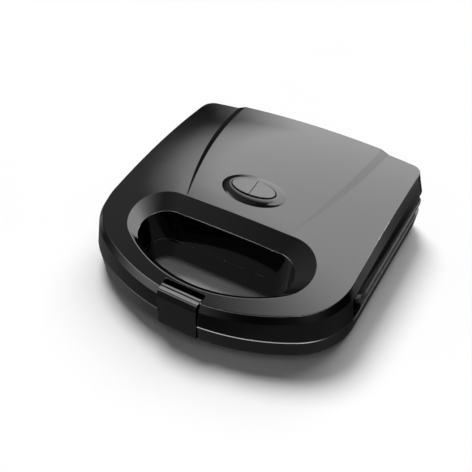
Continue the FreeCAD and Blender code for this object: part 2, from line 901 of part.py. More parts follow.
def element_tabs():
    """Ceramic beads and steel tabs on the two ends of the heater."""
    level = mm("element_level")
    long, wide, thick = mm("blade_long"), mm("blade_wide"), mm("blade_thick")
    tabs = []
    for sign in (-1, 1):
        start = Vector(sign * mm("element_end"), mm("element_rear"), level)
        inward = Vector(-sign, 0, 0)
        bead = Part.makeCylinder(mm("bead_radius"), mm("bead_long"), start, inward)
        corner = start + inward * mm("blade_out") - Vector(long, wide, thick) / 2
        tab = Part.makeBox(long, wide, thick, corner)
        tabs.append(bead.fuse(tab))
    return Part.makeCompound(tabs)


def tray_object(name, upper):
    """Sheet reflector tray behind an element, with holes for the plate studs."""
    outer = primitive("Box", name + "_outer", {
        "Length": "dims.tray_half * 2",
        "Width": "dims.tray_rear - dims.tray_front",
        "Height": "dims.tray_height",
    }, ("-dims.tray_half", "dims.tray_front", "dims.tray_level"))
    hollow = primitive("Box", name + "_hollow", {
        "Length": "(dims.tray_half - dims.tray_sheet) * 2",
        "Width": "dims.tray_rear - dims.tray_front - dims.tray_sheet * 2",
        "Height": "dims.tray_height",
    }, ("-dims.tray_half + dims.tray_sheet", "dims.tray_front + dims.tray_sheet",
        "dims.tray_level + dims.tray_sheet"))
    tools = [hollow]
    for side, sign in (("left", "-"), ("right", "")):
        tools.append(primitive("Cylinder", f"{name}_hole_{side}", {
            "Radius": "dims.boss_radius + dims.tray_hole_gap",
            "Height": "dims.tray_height * 3",
        }, (sign + "dims.stud_x", "(dims.plate_front + dims.plate_rear) / 2",
            "dims.tray_level - dims.tray_height")))
    tray = cut(name + "_sheet", outer, joined(name + "_tools", tools))
    if not upper:
        return finish(tray, name)
    flipped = doc.addObject("Part::Mirroring", name + "_mirror")
    flipped.Source = tray
    flipped.Normal = Vector(0, 0, 1)
    flipped.setExpression("Base.z", "dims.parting")
    return finish(flipped, name)


# ---------------------------------------------------------------- fasteners

def screw_template(name, length, head_radius, head_height):
    """Pan-head screw, its head resting on z = 0 and its shank pointing up."""
    corners = [("0", f"-{head_height}"), (f"{head_radius} * 0.75", f"-{head_height}"),
               (head_radius, f"-{head_height} * 0.4"), (head_radius, "0"),
               ("dims.screw_shank", "0"), ("dims.screw_shank", f"{length} - dims.screw_point"),
               ("dims.screw_shank * 0.4", length), ("0", length)]
    return turned_body(name, corners)


def screws(name, template, places, turn=None):
    """Identical screws as one group of separate solids, each with a cross recess in its head."""
    turn = turn or Rotation()
    head = mm("screw_head_height")
    group = []
    long, side = mm("cross_half"), mm("cross_side")
    level, depth = -head - OVERLAP, mm("cross_depth") - head
    cross = box(-long, long, -side, side, level, depth).fuse(box(-side, side, -long, long, level, depth))
    for place in places:
        screw = template.Shape.cut(cross)
        screw.Placement = Placement(Vector(*place), turn)
        group.append(screw)
    return shaped(name, Part.makeCompound(group))


# ---------------------------------------------------------------- derived heights, kept in the sheet

def derive(alias, text):
    """A dimension worked out from the others, kept beside them in the sheet."""
    line = len(DIMENSIONS) + 1 + len(derived)
    derived.append(alias)
    sheet.set(f"A{line}", alias)
    sheet.set(f"B{line}", "=" + text)
    sheet.setAlias(f"B{line}", alias)
    doc.recompute()


derived = []
derive("bulge_bottom", "parting - plate_gap - lip_height - ring_tube - ring_shell")
derive("element_level", "bulge_bottom - element_gap - element_radius")
derive("tray_level", "element_level - element_radius - tray_offset - tray_sheet")
derive("lower_stud_bottom", "base_bottom + 5.8")
derive("upper_stud_top", "2 * parting - lower_stud_bottom")
derive("bridge_level", "skirt_bottom + 2.4")
derive("latch_pin_half", "latch_half + latch_gap + handle_wall")


def build_plates_and_heaters():
    """Both cooking plates with everything fixed to them."""
    plate = plate_shape()
    through = [rod(x, y, 0, mm("parting") - mm("plate_pilot"), mm("screw_shank") + mm("screw_fit"))
               for x, y in stud_places()]
    shaped("lower_plate", plate.cut(through))
    sinks = []
    for x, y in stud_places():
        sinks.append(rod(x, y, 0, CAP, mm("screw_shank") + mm("screw_fit")))
        sinks.append(rod(x, y, mm("parting") - mm("plate_sink"), CAP, mm("screw_head") + mm("head_room")))
    shaped("upper_plate", upside_down(plate.cut(sinks)))
    shaped("lower_heating_element", element_shape())
    shaped("upper_heating_element", upside_down(element_shape()))
    shaped("lower_element_tabs", element_tabs())
    shaped("upper_element_tabs", upside_down(element_tabs()))
    tray_object("lower_reflector", False)
    tray_object("upper_reflector", True)


def build_clips():
    """Steel straps that hold the heaters to the plates."""
    under_z = mm("element_level") - mm("element_radius")
    straps = []
    for x, y in stud_places():
        strap = box(x - mm("strap_half"), x + mm("strap_half"), mm("element_front") - mm("strap_front"),
                    y + mm("strap_rear"), under_z - mm("strap_sheet"), under_z)
        straps.append(strap.cut(rod(x, y, 0, CAP, mm("stud_radius"))))
    strap_group = Part.makeCompound(straps)
    shaped("lower_element_clips", strap_group)
    shaped("upper_element_clips", upside_down(strap_group))


def build_feet():
    """Rubber feet, each with a sunk screw hole."""
    sink, hole = "dims.screw_head + dims.head_room", "dims.screw_shank + dims.screw_fit"
    for name, (sign, y_name) in FEET.items():
        body = turned_body("foot_" + name, [
            (sink, "0"), ("dims.foot_radius - dims.foot_chamfer", "0"),
            ("dims.foot_radius", "dims.foot_chamfer"),
            ("dims.foot_radius + dims.foot_flare", "dims.base_bottom"),
            (hole, "dims.base_bottom"), (hole, "dims.foot_sink"), (sink, "dims.foot_sink"),
        ])
        body.setExpression("Placement.Base.x", f"{sign} * dims.foot_x")
        body.setExpression("Placement.Base.y", "dims." + y_name)
        finish(body, "foot_" + name)


def build_screws():
    """Every group of screws."""
    short = screw_template("foot_screw", "dims.short_screw", "dims.screw_head", "dims.screw_head_height")
    tall = screw_template("plate_screw", "dims.tall_screw", "dims.screw_head", "dims.screw_head_height")
    over = Rotation(Vector(1, 0, 0), 180)
    screws("foot_screws", short, [(x, y, mm("foot_sink")) for x, y in feet_places()])
    low, high = mm("base_bottom") + mm("stud_sink"), mm("parting") + mm("plate_sink")
    screws("lower_plate_screws", tall, [(x, y, low) for x, y in stud_places()])
    screws("upper_plate_screws", tall, [(x, y, high) for x, y in stud_places()])
    leaf_top = mm("base_bottom") + mm("wall") + mm("leaf")
    leaf = screw_template("hinge_screw", "dims.leaf_screw", "dims.screw_head", "dims.screw_head_height")
    screw_y = mm("leaf_y") - mm("leaf_screw_back")
    screws("hinge_leaf_screws", leaf, [(x, screw_y, leaf_top) for _, x in hinge_places()], over)
    bridge_top = mm("bridge_level") + mm("bridge")
    screws("hinge_arm_screws", leaf, [(x, y, bridge_top) for x, y in arm_screw_places()], over)


# ---------------------------------------------------------------- hinges

def build_hinges():
    """Two knuckle hinges: leaf on the base, pin, and arm on the lid."""
    across = Rotation(Vector(0, 1, 0), 90)
    axis = ("dims.hinge_y", "dims.parting")
    span = "(dims.knuckle_length + 2 * dims.hinge_gap + 2 * dims.arm_length)"
    for side, sign in (("left", "-"), ("right", "")):
        middle = f"{sign}dims.hinge_x"
        leaf = "hinge_leaf_" + side
        pieces = [
            primitive("Cylinder", leaf + "_knuckle",
                      {"Radius": "dims.knuckle_radius", "Height": "dims.knuckle_length"},
                      (middle + " - dims.knuckle_length / 2", *axis), across),
            primitive("Box", leaf + "_web",
                      {"Length": "dims.knuckle_length", "Width": "dims.leaf",
                       "Height": "dims.parting - dims.base_bottom - dims.wall"},
                      (middle + " - dims.knuckle_length / 2", "dims.leaf_y",
                       "dims.base_bottom + dims.wall")),
            primitive("Box", leaf + "_foot",
                      {"Length": "dims.knuckle_length", "Width": "dims.leaf_foot", "Height": "dims.leaf"},
                      (middle + " - dims.knuckle_length / 2", "dims.leaf_y + dims.leaf - dims.leaf_foot",
                       "dims.base_bottom + dims.wall")),
        ]
        bores = joined(leaf + "_bores", [
            primitive("Cylinder", leaf + "_bore", {"Radius": "dims.hinge_pin", "Height": f"2 * {span}"},
                      (f"{middle} - {span}", *axis), across),
            primitive("Cylinder", leaf + "_screw_hole",
                      {"Radius": "dims.screw_shank + dims.screw_fit", "Height": "dims.seam"},
                      (middle, "dims.leaf_y - dims.leaf_screw_back", "dims.base_bottom")),
        ])
        finish(cut(leaf, joined(leaf + "_blank", pieces), bores), leaf)

        arm = "hinge_arm_" + side
        pieces = []
        for end, offset in (("a", f" - {span} / 2"), ("b", f" + {span} / 2 - dims.arm_length")):
            start = middle + offset
            pieces.append(primitive("Cylinder", f"{arm}_knuckle_{end}",
                                    {"Radius": "dims.knuckle_radius", "Height": "dims.arm_length"},
                                    (start, *axis), across))
            pieces.append(primitive("Box", f"{arm}_web_{end}",
                                    {"Length": "dims.arm_length", "Width": "dims.leaf",
                                     "Height": "dims.bridge_level + dims.bridge - dims.parting"},
                                    (start, "dims.leaf_y", "dims.parting")))
        pieces.append(primitive("Box", arm + "_bridge",
                                {"Length": span, "Width": "dims.bridge_width", "Height": "dims.bridge"},
                                (middle + f" - {span} / 2", "dims.leaf_y + dims.leaf - dims.bridge_width",
                                 "dims.bridge_level")))
        holes = [primitive("Cylinder", arm + "_bore",
                           {"Radius": "dims.hinge_pin + dims.hinge_fit", "Height": f"2 * {span}"},
                           (f"{middle} - {span}", *axis), across)]
        for end in ("-", "+"):
            holes.append(primitive("Cylinder", f"{arm}_hole_{len(holes)}",
                                   {"Radius": "dims.screw_shank + dims.screw_fit", "Height": "dims.seam"},
                                   (f"{middle} {end} dims.arm_screw", "dims.leaf_y - dims.arm_screw_back",
                                    "dims.skirt_bottom")))
        finish(cut(arm, joined(arm + "_blank", pieces), joined(arm + "_holes", holes)), arm)

        pin = "hinge_pin_" + side
        shaft = primitive("Cylinder", pin + "_shaft",
                          {"Radius": "dims.hinge_pin", "Height": span + " + 2 * dims.pin_end"},
                          (middle + f" - {span} / 2 - dims.pin_end", *axis), across)
        head = primitive("Cylinder", pin + "_head",
                         {"Radius": "dims.pin_head_radius", "Height": "dims.pin_head"},
                         (middle + f" - {span} / 2 - dims.pin_end - dims.pin_head / 2", *axis), across)
        finish(joined(pin, [shaft, head]), pin)


# ---------------------------------------------------------------- latch

def build_latch():
    """Swinging latch on a pin across the front of the lid, shown just clear of its catch."""
    half, y, z = mm("latch_half"), mm("latch_y"), mm("latch_z")
    barrel, face, hook = mm("latch_barrel"), mm("latch_face"), mm("latch_hook_y")
    back, shoulder = face + mm("latch_sheet"), mm("latch_shoulder")
    outline = [
        (y, z + barrel - 0.4, 0.3),
        (mm("latch_hump_y"), mm("latch_hump_z"), 1.6),
        (face, shoulder, 2.5),
        (face, mm("latch_foot"), 1.2),
        (hook, mm("latch_foot"), 0.6),
        (hook, mm("latch_hook_z"), 0.4),
        (back, mm("latch_hook_z") + 1.2, 0.5),
        (back, shoulder - 0.9, 1.5),
        (back + 1.8, shoulder + 1.9, 1.0),
        (y, z - barrel / 2, 0.3),
    ]
    points = [Vector(-half, py, pz) for py, pz, _ in outline]
    profile = rounded_wire(points, [radius for _, _, radius in outline], closed=True)
    arm = Part.Face(profile).extrude(Vector(2 * half, 0, 0))
    along = Vector(1, 0, 0)
    start = Vector(-half, y, z)
    sleeve = Part.makeCylinder(barrel, 2 * half, start, along)
    bore = Part.makeCylinder(mm("latch_pin") + mm("latch_fit"), 2 * half, start, along)
    latch = arm.fuse(sleeve).cut(bore).removeSplitter()
    shaped("latch", latch, Placement(Vector(), Rotation(along, -mm("latch_rest")), start))
    pin = primitive("Cylinder", "latch_pin_rod",
                    {"Radius": "dims.latch_pin", "Height": "2 * dims.latch_pin_half"},
                    ("-dims.latch_pin_half", "dims.latch_y", "dims.latch_z"), Rotation(Vector(0, 1, 0), 90))
    finish(pin, "latch_pin")


# ---------------------------------------------------------------- indicator

def build_indicator():
    """Two half lenses in the raised ring, with the lamp box and its lamps behind them."""
    place = indicator_place()
    crown = mm("lens_crown")
    top = mm("bezel_height") + mm("lens_proud")
    flange_top = -mm("pad_depth") - SKIN
    flange_foot = flange_top - mm("flange")
    lens = oval(0, flange_foot, 2 * top).common(Part.makeSphere(crown, Vector(0, 0, top - crown)))
    flange = oval(mm("flange_reach"), flange_foot, flange_top)
    half, wide, split = mm("lamp_box_long"), mm("lamp_box_short"), mm("lens_split")
    for name, sign in (("power_lens", -1), ("ready_lens", 1)):
        side = box(*sorted((sign * split, sign * 2 * half)), -2 * wide, 2 * wide, -CAP, CAP)
        window = rounded(lens.common(side), mm("lens_round"),
                         lambda point: point.z > mm("bezel_height") and abs(point.x) > split + NEAR)
        shaped(name, window.fuse(flange.common(side)).removeSplitter(), place)
    mouth = flange_foot - SKIN
    floor = mouth - mm("lamp_box_depth")
    wall, sheet_top = mm("lamp_box_wall"), floor + mm("lamp_box_floor")
    room = box(wall - half, half - wall, wall - wide, wide - wall, sheet_top, CAP)
    divider = box(-wall / 2, wall / 2, wall / 2 - wide, wide - wall / 2, floor, mouth)
    shaped("lamp_holder", box(-half, half, -wide, wide, floor, mouth).cut(room).fuse(divider), place)
    radius = mm("lamp_radius")
    for name, sign in (("power_lamp", -1), ("ready_lamp", 1)):
        tip = Vector(sign * mm("lamp_tip"), 0, sheet_top + radius)
        glass = Part.makeCylinder(radius, mm("lamp_length"), tip, Vector(sign, 0, 0))
        shaped(name, glass.fuse(Part.makeSphere(radius, tip)), place)


# ---------------------------------------------------------------- small electrical parts

def build_controls():
    """Thermostats, fuse, terminal block and cord gland."""
    middle = "(dims.plate_front + dims.plate_rear) / 2"
    for name, low in (("lower_thermostat", "dims.tray_level + dims.tray_sheet"),
                      ("upper_thermostat", "2 * dims.parting - dims.bulge_bottom + dims.case_gap")):
        height = "dims.bulge_bottom - dims.tray_level - dims.tray_sheet - 2 * dims.case_gap"
        sizes = {"Length": "dims.thermostat_long", "Width": "dims.thermostat_wide", "Height": height}
        case = primitive("Box", name + "_case", sizes,
                         ("-dims.thermostat_long / 2", middle + " - dims.thermostat_wide / 2", low))
        tabs = primitive("Box", name + "_tabs",
                         {"Length": "dims.tab_long", "Width": "dims.tab_wide", "Height": "dims.tab_sheet"},
                         ("-dims.tab_long / 2", middle + " - dims.tab_wide / 2", low + " + dims.tab_level"))
        finish(joined(name, [case, tabs]), name)
    level = "dims.base_bottom + dims.wall"
    sleeve = primitive("Cylinder", "fuse_sleeve",
                       {"Radius": "dims.fuse_radius", "Height": "dims.fuse_length"},
                       ("dims.fuse_x", "dims.tray_rear + dims.fuse_back", level + " + dims.fuse_lift"),
                       Rotation(Vector(0, 1, 0), 90))
    finish(sleeve, "thermal_fuse")
    block = primitive("Box", "terminal_case",
                      {"Length": "dims.block_long", "Width": "dims.block_side", "Height": "dims.block_side"},
                      ("dims.block_left", "dims.tray_rear + dims.block_back", level))
    wells = []
    for index in range(3):
        wells.append(primitive("Cylinder", f"terminal_well_{index}",
                               {"Radius": "dims.well_radius", "Height": "dims.block_side"},
                               (f"dims.block_left + dims.well_pitch * {index + 0.5}",
                                "dims.tray_rear + dims.block_back + dims.block_side / 2",
                                level + " + dims.well_lift")))
    finish(cut("terminal_cut", block, joined("terminal_wells", wells)), "terminal_block")
    groove, collar = "dims.outlet_radius - dims.gland_groove", "dims.outlet_radius + dims.gland_collar"
    gland = turned_body("gland", [
        ("dims.outlet_bore", "0"), (groove, "0"), (groove, "dims.gland_length - dims.gland_flange"),
        (collar, "dims.gland_length - dims.gland_flange"), (collar, "dims.gland_length"),
        ("dims.outlet_bore", "dims.gland_length"),
    ])
    gland.Placement = Placement(Vector(), Rotation(Vector(1, 0, 0), -90))
    gland.setExpression("Placement.Base.x", "dims.outlet_x")
    gland.setExpression("Placement.Base.y", "dims.depth / 2 - dims.gland_length - dims.gland_back")
    gland.setExpression("Placement.Base.z", "dims.outlet_z")
    finish(gland, "cord_gland")


def build_wires():
    """Short insulated leads inside the base and the lid."""
    tab_x = mm("element_end") - mm("lead_in")
    rear, reach = mm("element_rear"), mm("lead_reach")
    above_tab = mm("element_level") + mm("lead_lift") + mm("lead_radius")
    low = mm("base_bottom") + mm("wall") + mm("lead_level")
    leads = []
    for sign in (-1, 1):
        near, far = sign * tab_x, sign * tab_x / 2
        points = [Vector(near, rear + 0.15 * reach, above_tab), Vector(near, rear + 0.39 * reach, above_tab),
                  Vector(far, rear + 0.57 * reach, low + mm("lead_radius")), Vector(far, rear + reach, low)]
        leads.append(tube(points, mm("lead_bend"), mm("lead_radius")))
    shaped("base_leads", Part.makeCompound(leads))
    shaped("lid_leads", upside_down(Part.makeCompound(leads)))


shaped("upper_housing", upper_housing())
shaped("lower_housing", lower_housing())
build_plates_and_heaters()
build_clips()
build_feet()
build_screws()
build_hinges()
build_latch()
build_indicator()
build_controls()
build_wires()
doc.recompute()

for item in doc.Objects:
    if "Invalid" in item.State or "Error" in item.State:
        raise RuntimeError(f"{item.Name} did not build: {item.State}")

os.makedirs("parts", exist_ok=True)
for item in finished:
    shape = item.Shape
    if shape.isNull() or not shape.isValid():
        raise RuntimeError(f"{item.Label} has no valid shape")
    shape.exportStep(os.path.join("parts", item.Label + ".step"))
    print(item.Label, "solids", len(shape.Solids), "volume", round(shape.Volume))
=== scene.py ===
import bpy
import json
import math
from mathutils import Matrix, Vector

# Clamshell donut maker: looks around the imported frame. Lengths are metres, directions are degrees.
# Azimuth 0 is behind the appliance (+Y), and azimuth 90 is on its right (+X).

MM = 0.001

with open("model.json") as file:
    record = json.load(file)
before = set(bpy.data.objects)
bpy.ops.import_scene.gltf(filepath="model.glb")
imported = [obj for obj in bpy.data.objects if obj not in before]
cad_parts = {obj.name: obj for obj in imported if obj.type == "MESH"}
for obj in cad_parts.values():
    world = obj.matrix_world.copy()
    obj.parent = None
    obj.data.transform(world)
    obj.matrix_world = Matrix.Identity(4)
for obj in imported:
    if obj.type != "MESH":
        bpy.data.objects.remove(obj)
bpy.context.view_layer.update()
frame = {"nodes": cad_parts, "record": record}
nodes = frame["nodes"]
record = frame["record"]
scene = bpy.context.scene
scene.view_settings.view_transform = "Standard"


# ---------------------------------------------------------------- node helpers

BEVEL_SAMPLES = 6
NOISE_LOW, NOISE_HIGH = 0.3, 0.7


class Graph:
    """Short ways to add and wire shader nodes in one tree."""

    def __init__(self, tree):
        self.tree = tree
        tree.nodes.clear()

    def add(self, kind, **props):
        node = self.tree.nodes.new(kind)
        for name, value in props.items():
            setattr(node, name, value)
        return node

    def put(self, socket, value):
        """Wire another node's output into the socket, or set a plain value on it."""
        if hasattr(value, "is_output"):
            self.tree.links.new(value, socket)
        else:
            socket.default_value = value

    def math(self, operation, *values, clamp=False):
        node = self.add("ShaderNodeMath", operation=operation, use_clamp=clamp)
        for socket, value in zip(node.inputs, values):
            self.put(socket, value)
        return node.outputs[0]

    def times(self, result, *others):
        for other in others:
            result = self.math("MULTIPLY", result, other)
        return result

    def plus(self, result, *others):
        for other in others:
            result = self.math("ADD", result, other)
        return result

    def minus(self, value, other):
        return self.math("SUBTRACT", value, other)

    def hill(self, *offsets):
        """1 where every offset is 0, falling off smoothly as their squares add up."""
        squares = [self.times(offset, offset) for offset in offsets]
        return self.math("EXPONENT", self.times(self.plus(*squares), -1.0))

    def span(self, value, low, high, out_low=0.0, out_high=1.0, smooth=False):
        """The value carried from one range to another and held at its ends."""
        node = self.add("ShaderNodeMapRange", clamp=True)
        if smooth:
            node.interpolation_type = "SMOOTHSTEP"
        for name, number in (("Value", value), ("From Min", low), ("From Max", high),
                             ("To Min", out_low), ("To Max", out_high)):
            self.put(node.inputs[name], number)
        return node.outputs[0]

    def varied(self, noise, low, high):
        """A noise that fills the range from low to high."""
        return self.span(noise, NOISE_LOW, NOISE_HIGH, low, high)

    def noise(self, vector, scale, detail=2.0, rough=0.5):
        node = self.add("ShaderNodeTexNoise")
        self.put(node.inputs["Vector"], vector)
        node.inputs["Scale"].default_value = scale
        node.inputs["Detail"].default_value = detail
        node.inputs["Roughness"].default_value = rough
        return node.outputs["Fac"]

    def bands(self, vector, scale, direction):
        node = self.add("ShaderNodeTexWave", bands_direction=direction)
        self.put(node.inputs["Vector"], vector)
        node.inputs["Scale"].default_value = scale
        return node.outputs["Fac"]

    def stretched(self, vector, factors):
        node = self.add("ShaderNodeMapping")
        self.put(node.inputs["Vector"], vector)
        node.inputs["Scale"].default_value = factors
        return node.outputs["Vector"]

    def ramp(self, value, places, colours):
        """From the first colour to the second as the value passes the two places."""
        node = self.add("ShaderNodeValToRGB")
        self.put(node.inputs["Fac"], value)
        for element, place, colour in zip(node.color_ramp.elements, places, colours):
            element.position = place
            element.color = (*colour, 1.0)
        return node.outputs["Color"]

    def bump(self, height, distance, strength, normal=None):
        node = self.add("ShaderNodeBump")
        node.inputs["Strength"].default_value = strength
        node.inputs["Distance"].default_value = distance
        self.put(node.inputs["Height"], height)
        if normal is not None:
            self.put(node.inputs["Normal"], normal)
        return node.outputs["Normal"]

    def soft_edges(self, radius):
        node = self.add("ShaderNodeBevel", samples=BEVEL_SAMPLES)
        node.inputs["Radius"].default_value = radius
        return node.outputs["Normal"]


def surface(name, build):
    """Material whose principled shader is set by build(graph, coordinates, shader)."""
    material = bpy.data.materials.new(name)
    material.use_nodes = True
    graph = Graph(material.node_tree)
    output = graph.add("ShaderNodeOutputMaterial")
    shader = graph.add("ShaderNodeBsdfPrincipled")
    coordinates = graph.add("ShaderNodeTexCoord").outputs["Object"]
    graph.put(output.inputs["Surface"], shader.outputs[0])
    build(graph, coordinates, shader)
    return material


# ---------------------------------------------------------------- materials

# painted highlight: a lighter grey painted along the sharp edges of the gloss plastic, standing in for
# the light they catch
EDGE_HIGHLIGHT = (0.09, 0.09, 0.092)
HIGHLIGHT_STARTS, HIGHLIGHT_FULL = 0.995, 0.93
MIX_FIRST, MIX_SECOND, MIX_RESULT = 6, 7, 2
PLASTIC_ROUGH = (0.05, 0.08)
PLATE_COLOURS = ((0.012, 0.012, 0.013), (0.055, 0.056, 0.06))
PLATE_ROUGH = (0.32, 0.46)
SLEEVE_COLOURS = ((0.5, 0.47, 0.4), (0.8, 0.77, 0.7))
SLEEVE_STRANDS = 380.0
LENS_COLOURS = ((0.018, 0.018, 0.019), (0.035, 0.034, 0.034))
LENS_ROUGH = (0.16, 0.22)
LAMP_COLOURS = ((0.9, 0.5, 0.34), (0.98, 0.72, 0.55))
LAMP_ROUGH = (0.04, 0.1)
MATT_ROUGH_SPREAD = 0.06


def edge_highlight_mask(graph, soft):
    """1 where the softened normal turns away from the true one, which is along the edges; it places
    the painted edge highlight.
    """
    bend = graph.add("ShaderNodeVectorMath", operation="DOT_PRODUCT")
    graph.put(bend.inputs[0], soft)
    graph.put(bend.inputs[1], graph.add("ShaderNodeNewGeometry").outputs["Normal"])
    return graph.span(bend.outputs["Value"], HIGHLIGHT_STARTS, HIGHLIGHT_FULL)


def gloss_plastic(dark, light, edge):
    """Moulded gloss plastic: faint mottle, orange peel, and a painted highlight that makes the edges a
    little lighter.
    """
    def build(graph, place, shader):
        soft = graph.soft_edges(edge)
        mottle = graph.noise(place, scale=38.0, detail=3.0)
        blend = graph.add("ShaderNodeMix", data_type="RGBA")
        # painted highlight: the edges take the lighter grey
        graph.put(blend.inputs["Factor"], edge_highlight_mask(graph, soft))
        graph.put(blend.inputs[MIX_FIRST], graph.ramp(mottle, (NOISE_LOW, NOISE_HIGH), (dark, light)))
        graph.put(blend.inputs[MIX_SECOND], (*EDGE_HIGHLIGHT, 1.0))
        graph.put(shader.inputs["Base Color"], blend.outputs[MIX_RESULT])
        wiped = graph.stretched(place, factors=(9.0, 26.0, 9.0))
        wipe = graph.noise(wiped, scale=2.0, detail=4.0, rough=0.6)
        graph.put(shader.inputs["Roughness"], graph.varied(wipe, *PLASTIC_ROUGH))
        shader.inputs["IOR"].default_value = 1.5
        peel = graph.noise(place, scale=620.0)
        normal = graph.bump(peel, distance=0.001 * MM, strength=0.8, normal=soft)
        graph.put(shader.inputs["Normal"], normal)
    return build


def coated_plate(graph, place, shader):
    """Non-stick coating with a fine grain and a few lighter specks."""
    grain = graph.noise(place, scale=900.0, detail=3.0)
    specks = graph.noise(place, scale=2600.0, detail=0.0)
    bright = graph.span(specks, low=0.68, high=0.74, out_high=0.4)
    tone = graph.plus(graph.times(grain, 0.55), bright)
    graph.put(shader.inputs["Base Color"], graph.ramp(tone, (0.1, 0.9), PLATE_COLOURS))
    graph.put(shader.inputs["Roughness"], graph.varied(grain, *PLATE_ROUGH))
    shader.inputs["Metallic"].default_value = 0.25
    soft = graph.soft_edges(0.3 * MM)
    normal = graph.bump(grain, distance=0.02 * MM, strength=0.5, normal=soft)
    graph.put(shader.inputs["Normal"], normal)


def metal(colours, rough, stretch):
    """Metal with drawn or rolled lines along one axis."""
    def build(graph, place, shader):
        lines = graph.noise(graph.stretched(place, stretch), scale=420.0, detail=3.0, rough=0.6)
        stain = graph.noise(place, scale=60.0, detail=3.0)
        graph.put(shader.inputs["Base Color"], graph.ramp(stain, (0.3, 0.72), colours))
        graph.put(shader.inputs["Roughness"], graph.varied(lines, *rough))
        shader.inputs["Metallic"].default_value = 1.0
        soft = graph.soft_edges(0.15 * MM)
        normal = graph.bump(lines, distance=0.01 * MM, strength=0.5, normal=soft)
        graph.put(shader.inputs["Normal"], normal)
    return build


def matt(colours, scale, roughness, depth):
    """Matt moulding, ceramic or rubber with a fine grain."""
    def build(graph, place, shader):
        grain = graph.noise(place, scale, detail=4.0, rough=0.6)
        rough = graph.varied(grain, roughness - MATT_ROUGH_SPREAD, roughness + MATT_ROUGH_SPREAD)
        graph.put(shader.inputs["Base Color"], graph.ramp(grain, (0.35, 0.65), colours))
        graph.put(shader.inputs["Roughness"], rough)
        soft = graph.soft_edges(0.2 * MM)
        graph.put(shader.inputs["Normal"], graph.bump(grain, depth, strength=0.6, normal=soft))
    return build


def braided(graph, place, shader):
    """Braided glass-fibre sleeve."""
    wound = graph.stretched(place, factors=(1.0, 1.2, 0.9))
    weave, *others = [graph.bands(wound, SLEEVE_STRANDS, direction) for direction in "XYZ"]
    for strands in others:
        weave = graph.math("MAXIMUM", weave, strands)
    graph.put(shader.inputs["Base Color"], graph.ramp(weave, (0.2, 0.9), SLEEVE_COLOURS))
    shader.inputs["Roughness"].default_value = 0.8
    graph.put(shader.inputs["Normal"], graph.bump(weave, distance=0.08 * MM, strength=0.8))


def smoked_lens(graph, place, shader):
    """Smoked indicator lens: polished outside with a faint ribbed inside."""
    ribs = graph.bands(place, scale=260.0, direction="X")
    cloud = graph.noise(place, scale=160.0)
    tone = graph.plus(graph.times(ribs, 0.15), cloud)
    graph.put(shader.inputs["Base Color"], graph.ramp(tone, (0.3, 0.8), LENS_COLOURS))
    graph.put(shader.inputs["Roughness"], graph.varied(cloud, *LENS_ROUGH))
    shader.inputs["IOR"].default_value = 1.52
    graph.put(shader.inputs["Normal"], graph.soft_edges(0.3 * MM))


def lamp_glass(graph, place, shader):
    """Small neon lamp envelope."""
    swirl = graph.noise(place, scale=500.0)
    glass = graph.ramp(swirl, (NOISE_LOW, NOISE_HIGH), LAMP_COLOURS)
    graph.put(shader.inputs["Base Color"], glass)
    graph.put(shader.inputs["Roughness"], graph.varied(swirl, *LAMP_ROUGH))
    shader.inputs["Transmission Weight"].default_value = 0.7


LOOKS = {
    "housing": gloss_plastic(
        dark=(0.0015, 0.0015, 0.0016), light=(0.0026, 0.0026, 0.0028), edge=0.3 * MM),
    "latch_plastic": gloss_plastic(
        dark=(0.0014, 0.0014, 0.0015), light=(0.0024, 0.0024, 0.0026), edge=0.25 * MM),
    "plate_coating": coated_plate,
    "element_steel": metal(
        ((0.2, 0.17, 0.15), (0.42, 0.38, 0.34)), rough=(0.38, 0.52), stretch=(1.0, 1.0, 12.0)),
    "bright_steel": metal(
        ((0.5, 0.5, 0.51), (0.68, 0.68, 0.69)), rough=(0.22, 0.36), stretch=(1.0, 1.0, 8.0)),
    "reflector_sheet": metal(
        ((0.66, 0.67, 0.68), (0.82, 0.83, 0.84)), rough=(0.3, 0.42), stretch=(0.08, 4.0, 4.0)),
    "ceramic_body": matt(
        ((0.7, 0.68, 0.62), (0.84, 0.82, 0.77)), scale=700.0, roughness=0.55, depth=0.02 * MM),
    "sleeve": braided,
    "inner_plastic": matt(
        ((0.6, 0.6, 0.57), (0.72, 0.72, 0.7)), scale=900.0, roughness=0.5, depth=0.01 * MM),
    "rubber": matt(
        ((0.012, 0.012, 0.012), (0.024, 0.024, 0.025)), scale=1100.0, roughness=0.78, depth=0.03 * MM),
    "hinge_steel": metal(
        ((0.035, 0.035, 0.038), (0.07, 0.07, 0.075)), rough=(0.34, 0.48), stretch=(6.0, 1.0, 1.0)),
    "lens": smoked_lens,
    "lamp_glass": lamp_glass,
}

finishes = {slot: surface("finish_" + slot, build) for slot, build in LOOKS.items()}
slot_of_node = {part["node"]: part["material_slot"] for part in record["subparts"]}
for name, item in nodes.items():
    item.data.materials.clear()
    item.data.materials.append(finishes[slot_of_node[name]])


# ---------------------------------------------------------------- camera

CAMERA_AZIMUTH = math.radians(30.334)
CAMERA_ELEVATION = math.radians(42.712)
CAMERA_TARGET = Vector((3.877, -32.223, 41.08)) * MM
CAMERA_DISTANCE = 0.52833
LENS_LENGTH, SENSOR_WIDTH = 50.6, 36.0
NEAREST, FARTHEST = 0.01, 50.0

back = Vector((math.sin(CAMERA_AZIMUTH) * math.cos(CAMERA_ELEVATION),
               -math.cos(CAMERA_AZIMUTH) * math.cos(CAMERA_ELEVATION),
               math.sin(CAMERA_ELEVATION)))
lens = bpy.data.cameras.new("camera")
lens.lens = LENS_LENGTH
lens.sensor_width = SENSOR_WIDTH
lens.clip_start = NEAREST
lens.clip_end = FARTHEST
camera = bpy.data.objects.new("camera", lens)
camera.rotation_mode = "QUATERNION"
camera.location = CAMERA_TARGET + back * CAMERA_DISTANCE
camera.rotation_quaternion = (-back).to_track_quat("-Z", "Y")
scene.collection.objects.link(camera)
scene.camera = camera


# ---------------------------------------------------------------- studio

FILL = 0.16
WHITE = (1.0, 1.0, 1.0, 1.0)
HALF_TURN = 180.0

